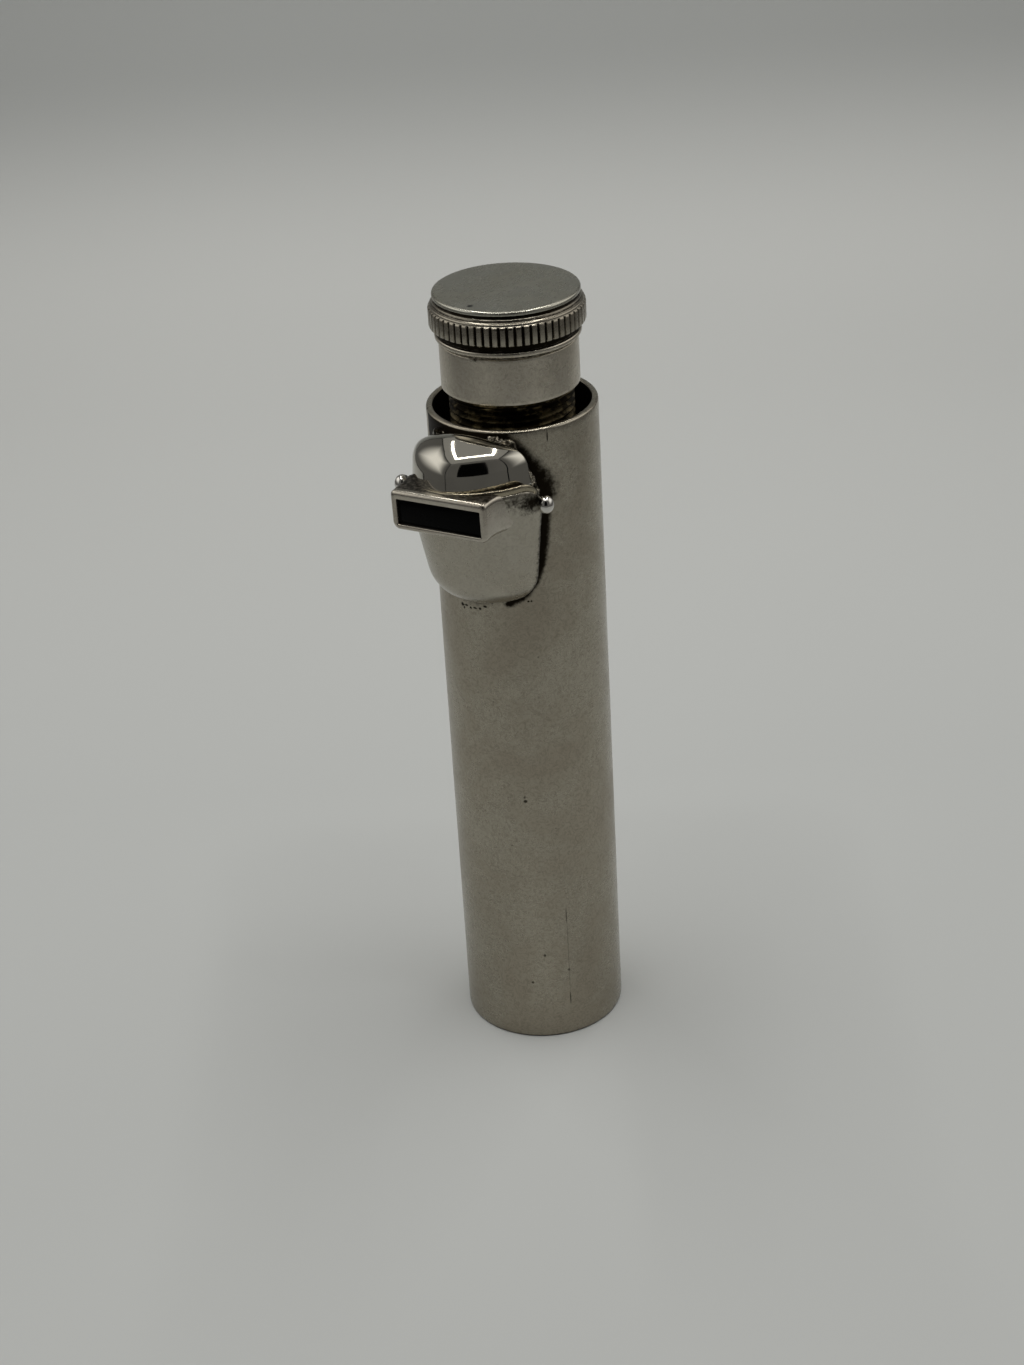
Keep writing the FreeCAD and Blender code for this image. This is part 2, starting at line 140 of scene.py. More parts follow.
def node_mm(name):
    """A CAD node's lowest and highest corners in millimetres."""
    low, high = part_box(name)
    return low / MM, high / MM


# ------------------------------------------------------------------ material tools

class Shader:
    """A node material under construction."""

    def __init__(self, name):
        self.material = bpy.data.materials.new(name)
        self.material.use_nodes = True
        self.tree = self.material.node_tree
        self.principled = self.tree.nodes["Principled BSDF"]
        self.coords = self.add("ShaderNodeTexCoord").outputs["Object"]

    def add(self, kind, **settings):
        node = self.tree.nodes.new(kind)
        for key, value in settings.items():
            setattr(node, key, value)
        return node

    def link(self, source, target):
        self.tree.links.new(source, target)

    def feed(self, socket, value):
        """Give a socket a link or a plain value, whichever the value is."""
        if isinstance(value, bpy.types.NodeSocket):
            self.tree.links.new(value, socket)
        else:
            socket.default_value = value

    def mapped(self, scale=(1, 1, 1), rotation=(0, 0, 0)):
        """Object coordinates, turned and stretched."""
        node = self.add("ShaderNodeMapping")
        self.link(self.coords, node.inputs["Vector"])
        node.inputs["Scale"].default_value = scale
        node.inputs["Rotation"].default_value = rotation
        return node.outputs["Vector"]

    def noise(self, scale, detail=3.0, rough=0.55, vector=None, distortion=0.0):
        """Noise whose scale is in features per metre."""
        node = self.add("ShaderNodeTexNoise")
        self.link(vector or self.coords, node.inputs["Vector"])
        node.inputs["Scale"].default_value = scale
        node.inputs["Detail"].default_value = detail
        node.inputs["Roughness"].default_value = rough
        node.inputs["Distortion"].default_value = distortion
        return node.outputs["Fac"]

    def ramp(self, value, low, high, to_low=0.0, to_high=1.0, smooth=True):
        """Carry the range low to high over to to_low to to_high."""
        node = self.add("ShaderNodeMapRange")
        if smooth:
            node.interpolation_type = "SMOOTHSTEP"
        self.feed(node.inputs["Value"], value)
        for key, number in (("From Min", low), ("From Max", high), ("To Min", to_low), ("To Max", to_high)):
            node.inputs[key].default_value = number
        return node.outputs["Result"]

    def math(self, operation, first, second=0.0):
        node = self.add("ShaderNodeMath", operation=operation)
        self.feed(node.inputs[0], first)
        self.feed(node.inputs[1], second)
        return node.outputs[0]

    def mix(self, share, first, second):
        node = self.add("ShaderNodeMix", data_type="RGBA")
        self.feed(node.inputs["Factor"], share)
        self.feed(node.inputs["A"], first if isinstance(first, bpy.types.NodeSocket) else (*first, 1.0))
        self.feed(node.inputs["B"], second if isinstance(second, bpy.types.NodeSocket) else (*second, 1.0))
        return node.outputs["Result"]

    def attribute(self, name):
        return self.add("ShaderNodeAttribute", attribute_name=name).outputs["Fac"]

    def axis(self, index):
        """One of the object's own coordinates, in metres."""
        node = self.add("ShaderNodeSeparateXYZ")
        self.link(self.coords, node.inputs["Vector"])
        return node.outputs[index]

    def bump(self, *layers):
        """Stack height layers of (value, distance in metres)."""
        normal = None
        for value, distance in layers:
            node = self.add("ShaderNodeBump")
            node.inputs["Distance"].default_value = distance
            node.inputs["Strength"].default_value = 1.0
            self.link(value, node.inputs["Height"])
            if normal is not None:
                self.link(normal, node.inputs["Normal"])
            normal = node.outputs["Normal"]
        self.link(normal, self.principled.inputs["Normal"])

    def spot(self, x, y, z, half_width, half_height, strength):
        """The given strength in a small oval mark at (x, y, z) millimetres, fading to 0 at its edge."""
        offset = self.add("ShaderNodeVectorMath", operation="SUBTRACT")
        self.link(self.coords, offset.inputs[0])
        offset.inputs[1].default_value = (x * MM, y * MM, z * MM)
        scaled = self.add("ShaderNodeVectorMath", operation="MULTIPLY")
        self.link(offset.outputs[0], scaled.inputs[0])
        scaled.inputs[1].default_value = (1 / half_width / MM, 1 / half_width / MM, 1 / half_height / MM)
        length = self.add("ShaderNodeVectorMath", operation="LENGTH")
        self.link(scaled.outputs[0], length.inputs[0])
        return self.ramp(length.outputs["Value"], 0.45, 1.0, strength, 0.0)

    def finish(self, color, roughness, metallic=1.0):
        self.feed(self.principled.inputs["Base Color"], color)
        self.feed(self.principled.inputs["Roughness"], roughness)
        self.feed(self.principled.inputs["Metallic"], metallic)
        return self.material


# Each metal has a cool and a warm tint that cloud into each other
METAL, METAL_WARM = (0.372, 0.345, 0.280), (0.335, 0.298, 0.235)
FACE_TINT, FACE_WARM = (0.40, 0.375, 0.315), (0.36, 0.332, 0.272)
COLLAR_TINT, COLLAR_WARM = (0.53, 0.49, 0.41), (0.48, 0.435, 0.355)
DISC_TINT, DISC_WARM = (0.44, 0.43, 0.375), (0.40, 0.385, 0.32)
GRIP_TINT, GRIP_WARM = (0.34, 0.315, 0.26), (0.27, 0.24, 0.19)
LEDGE_TINT, LEDGE_WARM = (0.40, 0.36, 0.27), (0.28, 0.24, 0.17)
FRAME_TINT, FRAME_WARM = (0.46, 0.43, 0.37), (0.40, 0.36, 0.30)
BALL_TINT = (0.62, 0.60, 0.56)
# Near-black used alike for real patina and for painted shade
PATINA_AND_SHADE = (0.012, 0.009, 0.005)
FINE_DENT, SWIRL_DENT = 1.2e-6, 6e-6    # how deep the grain and the scratches are bumped, in metres


def satin_metal(name, base=METAL, warm=METAL_WARM, rough=(0.24, 0.36), patina_and_shade_name=None, swirl=0.5,
                upright=False, ragged=0.2, marks=(), mottle=0.5):
    """Hand-polished metal: cloudy tint, fine swirled scratches, smudged roughness, dark patina and painted
    shade in places.
    """
    s = Shader(name)
    cloud = s.noise(95.0, 4.0, 0.62, distortion=0.4)
    fine = s.noise(2600.0, 2.0, 0.6)
    streak_a = s.noise(430.0, 3.0, 0.65, vector=s.mapped((1.0, 1.0, 9.0), rotation=(0.5, 0.2, 0.4)))
    streak_b = s.noise(430.0, 3.0, 0.65, vector=s.mapped((6.0, 1.2, 1.0), rotation=(0.3, -0.6, 1.1)))
    streaks = s.math("MULTIPLY", streak_a, streak_b)
    if upright:
        streaks = s.noise(2400.0, 3.0, 0.6, vector=s.mapped((1.0, 1.0, 0.06)))
    color = s.mix(s.ramp(cloud, 0.35, 0.68), base, warm)
    fleck = s.noise(1500.0, 5.0, 0.78, distortion=2.2)
    color = s.mix(s.ramp(fleck, 0.42, 0.66, 0.0, mottle), color, tuple(0.72 * c for c in warm))
    roughness = s.math("ADD", s.ramp(cloud, 0.3, 0.7, *rough), s.ramp(streaks, 0.15, 0.4, -0.03, 0.04))
    # The named attribute marks real patina in some places and painted shade in others
    if patina_and_shade_name:
        edge = s.noise(2300.0, 5.0, 0.72)
        amount = s.math("ADD", s.attribute(patina_and_shade_name), s.ramp(edge, 0.3, 0.7, -ragged, ragged))
        amount = s.ramp(amount, 0.12, 0.85)
        amount = s.math("MULTIPLY", amount, s.ramp(s.attribute(patina_and_shade_name), 0.01, 0.12))
        color = s.mix(amount, color, PATINA_AND_SHADE)
        roughness = s.math("ADD", roughness, s.math("MULTIPLY", amount, 0.25))
    for mark in marks:
        color = s.mix(s.spot(*mark), color, PATINA_AND_SHADE)
    s.bump((streaks, swirl * SWIRL_DENT), (fine, FINE_DENT))
    return s.finish(color, roughness)


def mirror_metal(name, base=(0.46, 0.44, 0.385)):
    """Highly polished metal with a few soft dull patches."""
    s = Shader(name)
    haze = s.noise(260.0, 3.0, 0.5)
    wave = s.noise(240.0, 1.0, 0.4)
    s.bump((wave, 6e-6))
    return s.finish(s.mix(s.ramp(haze, 0.4, 0.7), base, tuple(c * 0.9 for c in base)),
                    s.ramp(haze, 0.35, 0.75, 0.035, 0.10))


def tarnished_brass(name):
    """Dark brown brass that is worn to metal in patches."""
    s = Shader(name)
    cloud = s.noise(600.0, 4.0, 0.65)
    fine = s.noise(4000.0, 2.0, 0.6)
    color = s.mix(s.ramp(cloud, 0.46, 0.66), (0.012, 0.009, 0.004), (0.20, 0.16, 0.085))
    s.bump((fine, 2e-6), (cloud, 8e-6))
    return s.finish(color, s.ramp(cloud, 0.3, 0.7, 0.55, 0.35))


def black_glass(name):
    """Near-black glass with a few smears and a weak reflection."""
    s = Shader(name)
    smear = s.noise(420.0, 3.0, 0.5)
    s.bump((s.noise(200.0, 1.0, 0.4), 1.5e-6))
    s.principled.inputs["IOR"].default_value = 1.5
    s.principled.inputs["Specular IOR Level"].default_value = 0.04
    return s.finish(s.mix(smear, (0.0012, 0.0012, 0.0013), (0.002, 0.002, 0.002)),
                    s.ramp(smear, 0.35, 0.7, 0.08, 0.2), 0.0)


def dark_solder(name):
    """Sooty solder with bright, smoother patches."""
    s = Shader(name)
    cloud = s.noise(900.0, 4.0, 0.7)
    bright = s.noise(1700.0, 3.0, 0.6)
    color = s.mix(s.ramp(cloud, 0.44, 0.6), (0.010, 0.008, 0.005), (0.34, 0.31, 0.25))
    s.bump((bright, 3e-5))
    return s.finish(color, s.ramp(cloud, 0.4, 0.65, 0.42, 0.22))


def dull_rubber(name):
    """Matt, grainy liner material."""
    s = Shader(name)
    grain = s.noise(3500.0, 4.0, 0.7)
    s.bump((grain, 1e-5))
    return s.finish(s.mix(grain, (0.028, 0.024, 0.02), (0.05, 0.044, 0.036)),
                    s.ramp(grain, 0.3, 0.7, 0.6, 0.85), 0.0)


# ------------------------------------------------------------------ setting: camera, tent and sweep

VIEW_AZIMUTH = math.radians(30.2)
SIDEWAYS = Vector((math.cos(VIEW_AZIMUTH), math.sin(VIEW_AZIMUTH), 0))
AWAY = Vector((-math.sin(VIEW_AZIMUTH), math.cos(VIEW_AZIMUTH), 0))
# Floor and backdrop tints that paint the light's falloff: shaded near the object, lit further back, shaded
# up the backdrop
FLOOR_NEAR_SHADED, FLOOR_FAR_LIT, BACKDROP_SHADED = (0.578, 0.594, 0.588), (0.745, 0.758, 0.745), (0.50, 0.515, 0.508)
LIGHT_TINT = (1.0, 0.985, 0.95)


def add_camera():
    """A long lens a little above the object, with a slight roll."""
    data = bpy.data.cameras.new("camera")
    data.lens = 64.33
    data.sensor_width = 36.0
    camera = bpy.data.objects.new("camera", data)
    bpy.context.scene.collection.objects.link(camera)
    distance, height = 0.2369, 0.1706
    yaw, pitch, roll = -VIEW_AZIMUTH - math.radians(0.43), math.radians(28.53), math.radians(3.46)
    forward = Vector((math.sin(yaw) * math.cos(pitch), math.cos(yaw) * math.cos(pitch), -math.sin(pitch)))
    level = Vector((math.cos(yaw), -math.sin(yaw), 0))
    down = forward.cross(level)
    right = math.cos(roll) * level + math.sin(roll) * down
    below = -math.sin(roll) * level + math.cos(roll) * down
    turn = Matrix((right, -below, -forward)).transposed()
    camera.matrix_world = Matrix.Translation(-AWAY * distance + Vector((0, 0, height))) @ turn.to_4x4()
    data.clip_start = 0.01
    bpy.context.scene.camera = camera


def setting_point(side, away, up):
    """A point of the tent, in millimetres sideways, away from the camera and up."""
    return tuple(SIDEWAYS * side + AWAY * away + Vector((0, 0, up)))


def add_sweep():
    """Pale floor that curves up into the backdrop behind, its colour painted with the light's falloff:
    darker in front of and round the object, lighter further back, darker up the backdrop.
    """
    front, start, radius, reach, steps = -222.0, 190.0, 260.0, 206.0, 24
    line = [(front, 0.0), (0.0, 0.0), (start, 0.0)]
    for step in range(1, steps + 1):
        angle = math.pi / 2 * step / steps
        line.append((start + radius * math.sin(angle), radius * (1 - math.cos(angle))))
    line.append((start + radius, radius + 500.0))
    points = [setting_point(side, away, up) for away, up in line for side in (-reach, reach)]
    faces = [(2 * k, 2 * k + 1, 2 * k + 3, 2 * k + 2) for k in range(len(line) - 1)]
    sweep = mesh_object("backdrop_sweep", points, faces, 180.0)
    s = Shader("backdrop_paper_painted_light")
    tone = s.noise(9.0, 2.0, 0.5)
    depth = s.add("ShaderNodeVectorMath", operation="DOT_PRODUCT")
    s.link(s.coords, depth.inputs[0])
    depth.inputs[1].default_value = AWAY
    # Painted light falloff: darker in front of and round the object, lighter further back, darker up the
    # backdrop
    color = s.mix(s.ramp(depth.outputs["Value"], 0.05, 0.24, smooth=False), FLOOR_NEAR_SHADED, FLOOR_FAR_LIT)
    color = s.mix(s.ramp(s.axis(2), 0.006, 0.034), color, BACKDROP_SHADED)
    color = s.mix(s.ramp(tone, 0.3, 0.7, 0.0, 0.03), color, (0.3, 0.3, 0.3))
    s.principled.inputs["Specular IOR Level"].default_value = 0.15
    sweep.data.materials.append(s.finish(color, s.ramp(tone, 0.3, 0.7, 0.6, 0.7), 0.0))


def glow_material(name, strength):
    """Plain light of one strength, in the tent's tint."""
    material = bpy.data.materials.new(name)
    material.use_nodes = True
    tree = material.node_tree
    tree.nodes.clear()
    emission = tree.nodes.new("ShaderNodeEmission")
    emission.inputs["Color"].default_value = (*LIGHT_TINT, 1.0)
    emission.inputs["Strength"].default_value = strength
    output = tree.nodes.new("ShaderNodeOutputMaterial")
    tree.links.new(emission.outputs[0], output.inputs["Surface"])
    return material


def add_panel(name, corners, strength, soft=False):
    """A glowing panel of the light tent. The camera doesn't see it, but metal reflects it."""
    panel = mesh_object(name, [setting_point(*corner) for corner in corners], [(0, 1, 2, 3)], 180.0)
    panel.data.materials.append(glow_material(name + "_glow", strength))
    if soft:
        soften(panel, corners)
    panel.visible_camera = False
    panel.visible_shadow = False


def soften(panel, corners):
    """Let the panel's light fade out towards its edges, by blending in transparency."""
    tree = panel.data.materials[0].node_tree
    centre = Vector(setting_point(*[sum(corner[axis] for corner in corners) / 4 for axis in range(3)])) * MM
    half_deep = (corners[1][1] - corners[0][1]) / 2 * MM
    half_high = (corners[2][2] - corners[1][2]) / 2 * MM

    def node(kind, **settings):
        made = tree.nodes.new(kind)
        for key, value in settings.items():
            setattr(made, key, value)
        return made

    def calculate(operation, first, second):
        made = node("ShaderNodeMath", operation=operation)
        for index, value in enumerate((first, second)):
            if isinstance(value, bpy.types.NodeSocket):
                tree.links.new(value, made.inputs[index])
            else:
                made.inputs[index].default_value = value
        return made.outputs[0]

    coords = node("ShaderNodeTexCoord").outputs["Object"]
    offset = node("ShaderNodeVectorMath", operation="SUBTRACT")
    tree.links.new(coords, offset.inputs[0])
    offset.inputs[1].default_value = centre
    split = node("ShaderNodeSeparateXYZ")
    along = node("ShaderNodeVectorMath", operation="DOT_PRODUCT")
    tree.links.new(offset.outputs[0], along.inputs[0])
    along.inputs[1].default_value = AWAY
    tree.links.new(offset.outputs[0], split.inputs[0])
    deep = calculate("DIVIDE", calculate("ABSOLUTE", along.outputs["Value"], 0.0), half_deep)
    high = calculate("DIVIDE", calculate("ABSOLUTE", split.outputs["Z"], 0.0), half_high)
    edge = calculate("MAXIMUM", deep, high)
    ramp = node("ShaderNodeValToRGB")
    tree.links.new(edge, ramp.inputs[0])
    ramp.color_ramp.interpolation = "EASE"
    ramp.color_ramp.elements[0].position = 0.15
    ramp.color_ramp.elements[0].color = (1, 1, 1, 1)
    ramp.color_ramp.elements[1].position = 1.0
    ramp.color_ramp.elements[1].color = (0, 0, 0, 1)
    clear = node("ShaderNodeBsdfTransparent")
    mix = node("ShaderNodeMixShader")
    tree.links.new(ramp.outputs[0], mix.inputs[0])
    tree.links.new(clear.outputs[0], mix.inputs[1])
    tree.links.new(tree.nodes["Emission"].outputs[0], mix.inputs[2])
    tree.links.new(mix.outputs[0], tree.nodes["Material Output"].inputs["Surface"])


TENT_HALF, TENT_TOP, TENT_FRONT, TENT_BACK = 210.0, 400.0, -225.0, 440.0
CEILING_GLOW, WALL_GLOW, FRONT_HIGH_GLOW, FRONT_SIDE_GLOW = 0.37, 0.13, 0.16, 0.14
SIDE_GLOW, STRIP_GLOW = 1.3, 16.0


def add_tent():
    """A box-shaped light tent round the object, with light strips near its top and an opening in front."""
    gap = 6.0
    w, top, front, back = TENT_HALF, TENT_TOP, TENT_FRONT, TENT_BACK
    add_panel("tent_ceiling", [(-w, front, top), (w, front, top), (w, back, top), (-w, back, top)],
              CEILING_GLOW)
    for side, sign in (("left", -1), ("right", 1)):
        x = sign * (w + gap)
        add_panel(f"tent_{side}_wall", [(x, front + gap, 0), (x, back, 0), (x, back, top - gap),
                                        (x, front + gap, top - gap)], WALL_GLOW)
    hole_side, hole_low, hole_high = 84.0, 60.0, 330.0
    y = front
    add_panel("tent_front_low", [(-w, y, 0), (w, y, 0), (w, y, hole_low), (-w, y, hole_low)], WALL_GLOW)
    add_panel("tent_front_high", [(-w, y, hole_high), (w, y, hole_high), (w, y, top - gap),
                                  (-w, y, top - gap)], FRONT_HIGH_GLOW)
    for side, sign in (("left", -1), ("right", 1)):
        x0, x1 = sign * w, sign * hole_side
        add_panel(f"tent_front_{side}", [(x0, y, hole_low), (x1, y, hole_low), (x1, y, hole_high),
                                         (x0, y, hole_high)], FRONT_SIDE_GLOW)
    glow_front, glow_back, glow_low, glow_high = -190, 250, 60, 385
    for side, sign in (("left", -1), ("right", 1)):
        x = sign * (w - 2.0)
        add_panel(f"side_glow_{side}", [(x, glow_front, glow_low), (x, glow_back, glow_low),
                                        (x, glow_back, glow_high), (x, glow_front, glow_high)],
                  SIDE_GLOW, soft=True)
    strip_side, strip_front, strip_back, strip_width = 121.0, -115.0, 215.0, 17.0
    z = top - 8.0
    add_panel("strip_front", [(-strip_side, strip_front, z), (strip_side, strip_front, z),
                              (strip_side, strip_front + strip_width, z),
                              (-strip_side, strip_front + strip_width, z)], STRIP_GLOW)
    for side, sign in (("left", -1), ("right", 1)):
        x0, x1 = sign * strip_side, sign * (strip_side - strip_width)
        add_panel(f"strip_{side}", [(x0, strip_front, z), (x1, strip_front, z), (x1, strip_back, z),
                                    (x0, strip_back, z)], STRIP_GLOW)


def add_world():
    """Pale grey to the camera, near black to everything else, so that the tent's seams reflect dark."""
    world = bpy.data.worlds.new("world")
    bpy.context.scene.world = world
    world.use_nodes = True
    tree = world.node_tree
    background = tree.nodes["Background"]
    path = tree.nodes.new("ShaderNodeLightPath")
    mix = tree.nodes.new("ShaderNodeMix")
    mix.data_type = "RGBA"
    tree.links.new(path.outputs["Is Camera Ray"], mix.inputs["Factor"])
    mix.inputs["A"].default_value = (0.002, 0.002, 0.002, 1)
    mix.inputs["B"].default_value = (0.40, 0.405, 0.385, 1)
    tree.links.new(mix.outputs["Result"], background.inputs["Color"])


# ------------------------------------------------------------------ tube

# The rough solder's run beside the helmet, as (across, height, half width)
SOLDER_TRAIL = [(2.6, 74.3, 0.5), (3.4, 74.2, 0.5), (4.0, 73.7, 0.55), (4.5, 73.0, 0.6), (4.9, 72.2, 0.65),
                (5.35, 71.3, 0.7), (5.8, 70.2, 0.75), (6.15, 69.0, 0.75), (6.35, 68.0, 0.6)]
# The face's right edge on the tube, along which a painted shadow darkens the gap beside it, as (across,
# height)
SHADOW_EDGE = [(3.1, 56.05), (3.9, 56.4), (4.85, 57.2), (5.5, 58.25), (5.9, 59.6), (6.2, 60.9),
               (6.55, 65.7), (6.6, 67.6)]


def distance_to_path(x, z, path):
    """The shortest distance from a point to a run of straight lines."""
    best = 99.0
    for (x0, z0), (x1, z1) in zip(path, path[1:]):
        share = ((x - x0) * (x1 - x0) + (z - z0) * (z1 - z0)) / ((x1 - x0) ** 2 + (z1 - z0) ** 2)
        share = max(0.0, min(1.0, share))
        best = min(best, math.hypot(x - x0 - (x1 - x0) * share, z - z0 - (z1 - z0) * share))
    return best


def tube_patina_and_shade(x, y, z):
    """How dark the tube is at a point: solder stain along the trail, darker behind the crown and along the
    chin's foot, and a painted shadow beside the helmet's right edge.
    """
    if y > -2.0:
        return 0.0
    amount = 0.0
    for across, up, size in SOLDER_TRAIL:
        away = math.hypot(x - across - 0.1, z - up) / size
        amount = max(amount, 1.5 - 0.6 * away)
    # Darker over the tube behind the crown, up to just under the rim
    behind_crown_left, behind_crown_right, behind_crown_top = -6.9, 4.6, 75.28
    if abs(x) < 7.0 and z > 70.0:
        inside = min(1.0, (x - behind_crown_left) / 0.7, behind_crown_right - x)
        rise = min(1.0, (behind_crown_top - z) / 0.15) if z > 74.0 else 1.0
        amount = max(amount, min(inside, rise) * 1.1)
    # A dark band along the chin's foot
    chin = math.hypot((x + 0.6) / 3.4, (z - 55.75 - 0.03 * x * x) / 0.5)
    amount = max(amount, 0.7 - 0.5 * chin)
    # Painted shadow: a dark band on the tube along the face's right edge
    edge = distance_to_path(x, z, SHADOW_EDGE)
    amount = max(amount, 1.35 - edge * (2.0 if z < 62 else 1.75))
    return max(0.0, min(1.0, amount))


def add_attribute(obj, name, values):
    """Keep one number for each vertex, for the material to read."""
    layer = obj.data.attributes.new(name, "FLOAT", "POINT")
    layer.data.foreach_set("value", np.asarray(values, np.float32))


# Small pits, ticks and seam cracks: (degrees round the tube, height, half width, half height, darkness)
TUBE_MARKS = [(23.7, 31.8, 0.30, 0.26, 0.9), (23.2, 32.3, 0.16, 0.2, 0.7), (21.3, 7.6, 0.2, 0.2, 0.8),
              (31.2, 11.3, 0.2, 0.24, 0.8), (48.3, 8.9, 0.2, 0.2, 0.7), (29.9, 56.5, 0.16, 0.18, 0.8),
              (-14.2, 55.0, 0.16, 0.14, 0.8), (52.0, 74.4, 0.12, 0.75, 0.9), (48.5, 4.95, 0.1, 1.1, 0.75),
              (48.3, 16.3, 0.09, 1.4, 0.6), (48.6, 11.5, 0.06, 9.0, 0.35),
              (31.0, 62.0, 0.12, 0.16, 0.5), (38.0, 49.5, 0.12, 0.14, 0.5),
              (12.0, 26.0, 0.13, 0.13, 0.5), (-15.5, 55.0, 0.26, 0.3, 1.0), (-14.0, 54.7, 0.16, 0.2, 1.0),
              (-11.8, 55.05, 0.3, 0.16, 1.0), (-8.2, 54.9, 0.18, 0.18, 1.0), (-4.6, 55.0, 0.34, 0.14, 1.0),
              (-0.6, 55.05, 0.22, 0.2, 1.0), (3.4, 55.4, 0.3, 0.16, 1.0), (33.5, 56.2, 0.17, 0.15, 1.0),
              (35.5, 56.2, 0.14, 0.14, 1.0), (44.0, 28.0, 0.12, 0.12, 0.45), (5.0, 44.0, 0.12, 0.12, 0.45),
              (-66.0, 74.9, 0.22, 0.7, 0.8), (-60.0, 75.1, 0.14, 0.9, 0.85), (-53.0, 75.2, 0.3, 0.35, 0.8),
              (-72.0, 74.7, 0.1, 1.0, 0.6), (-48.0, 75.1, 0.2, 0.3, 0.7)]


def make_tube():
    """The polished tube with rounded rims, a bore painted dark as shade, and a barely wavy skin."""
    low, high = node_mm("outer_tube")
    radius, top = high.x, high.z
    wall, waviness = 0.7, 0.012
    bore = radius - wall
    outline = rounded_outline([(bore, low.z, 0.1), (radius, low.z, 0.28), (radius, top, 0.3),
                               (bore, top, 0.22)])
    outline = subdivided(outline, 0.6)

    def handmade(r, z, angle):
        wave = lump(math.cos(angle) * 2, math.sin(angle) * 2, z * 0.14, 1.0, 3.1)
        return r - waviness + waviness * wave, z

    tube = lathe("polished_tube", outline, 224, handmade)
    darkness = []
    for vertex in tube.data.vertices:
        x, y, z = (c / MM for c in vertex.co)
        value = tube_patina_and_shade(x, y, z)
        # Painted shade: the bore is painted fully dark
        if math.hypot(x, y) < bore + 0.15 and z < top - 0.15:
            value = 1.0
        # Painted contact shadow: a dark line at the foot
        if z < 0.3:
            value = max(value, 0.75 - z * 2.0)
        darkness.append(value)
    add_attribute(tube, "patina_and_shade", darkness)
    marks = []
    for turn, z, wide, tall, dark in TUBE_MARKS:
        angle = math.radians(turn)
        marks.append((radius * math.sin(angle), -radius * math.cos(angle), z, wide, tall, dark))
    tube.data.materials.append(satin_metal("tube_metal", patina_and_shade_name="patina_and_shade", ragged=0.13, marks=marks,
                                           mottle=0.85, swirl=0.9))
    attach(tube, "tube")
    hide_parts("outer_tube")


# ------------------------------------------------------------------ cap

DISC_SPOT = (-0.55, -6.33)    # x and y of a dark pit near the top disc's edge
SEAM_LOW, SEAM_HIGH, SEAM_DEEP = 82.42, 82.62, 0.14    # the groove turned under the collar's bead
BEAD_LOW, BEAD_HIGH = 82.68, 83.18
PLUG_STEP, RIM_LOW = 85.63, 87.1    # where the disc's plug widens, and the underside of its rim
KNURL_TEETH, KNURL_TOP, KNURL_DEEP = 62, 86.07, 0.34


def make_cap():
    """The collar with its groove and bead, the grip and the top disc."""
    body = "cap"
    skirt_low, skirt_high = node_mm("cap_skirt")
    outer, bore = 7.23, 6.95
    bead = skirt_high.x
    outline = rounded_outline([
        (bore, skirt_low.z, 0.05), (outer, skirt_low.z, 0.12), (outer, 82.3, 0.06),
        (outer - SEAM_DEEP, SEAM_LOW, 0.03), (outer - SEAM_DEEP, SEAM_HIGH, 0.03),
        (bead - 0.02, BEAD_LOW, 0.2), (bead - 0.02, BEAD_HIGH, 0.2),
        (outer, 83.24, 0.03), (outer, skirt_high.z, 0.05), (bore, skirt_high.z, 0.05)])
    collar = lathe("cap_collar", subdivided(outline, 0.3), 192)
    darkness = []
    for vertex in collar.data.vertices:
        x, y, z = (c / MM for c in vertex.co)
        angle = math.atan2(x, -y)
        # Painted shade in the groove under the bead (line) and on the collar above the bead, under the grip
        # (under); stain is a dark stain below the groove
        line = 1.15 - abs(z - (SEAM_LOW + SEAM_HIGH) / 2) / 0.16
        under = (z - BEAD_HIGH) / 0.1
        stain = 0.85 - math.hypot((angle - 0.02) * 7.2 / 1.5, (z - 82.25) / 0.4)
        darkness.append(max(0.0, min(1.0, max(line, under, stain))))
    add_attribute(collar, "patina_and_shade", darkness)
    collar.data.materials.append(satin_metal("collar_metal", base=COLLAR_TINT, warm=COLLAR_WARM,
                                             rough=(0.19, 0.30), patina_and_shade_name="patina_and_shade", mottle=0.8,
                                             swirl=0.6, upright=True))
    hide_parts("cap_skirt")

    band = make_knurled_band()
    disc_low, disc_high = node_mm("cap_top_disc")
    top, rim = disc_high.z, disc_high.x
    outline = rounded_outline([
        (0, disc_low.z, 0), (6.9, disc_low.z, 0.05), (6.9, PLUG_STEP, 0), (7.2, PLUG_STEP, 0),
        (7.2, RIM_LOW, 0.0), (rim, RIM_LOW, 0.08), (rim, top, 0.26), (0, top - 0.03, 0)], 7)
    disc = lathe("cap_disc", subdivided(outline, 0.7), 192)
    disc.data.materials.append(satin_metal("disc_metal", base=DISC_TINT, warm=DISC_WARM,
                                           rough=(0.25, 0.3), swirl=0.02, mottle=0.12,
                                           marks=[(DISC_SPOT[0], DISC_SPOT[1], top - 0.02, 0.42, 0.4, 1.0)]))
    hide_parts("cap_top_disc")
    for piece in (collar, band, disc):
        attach(piece, body)


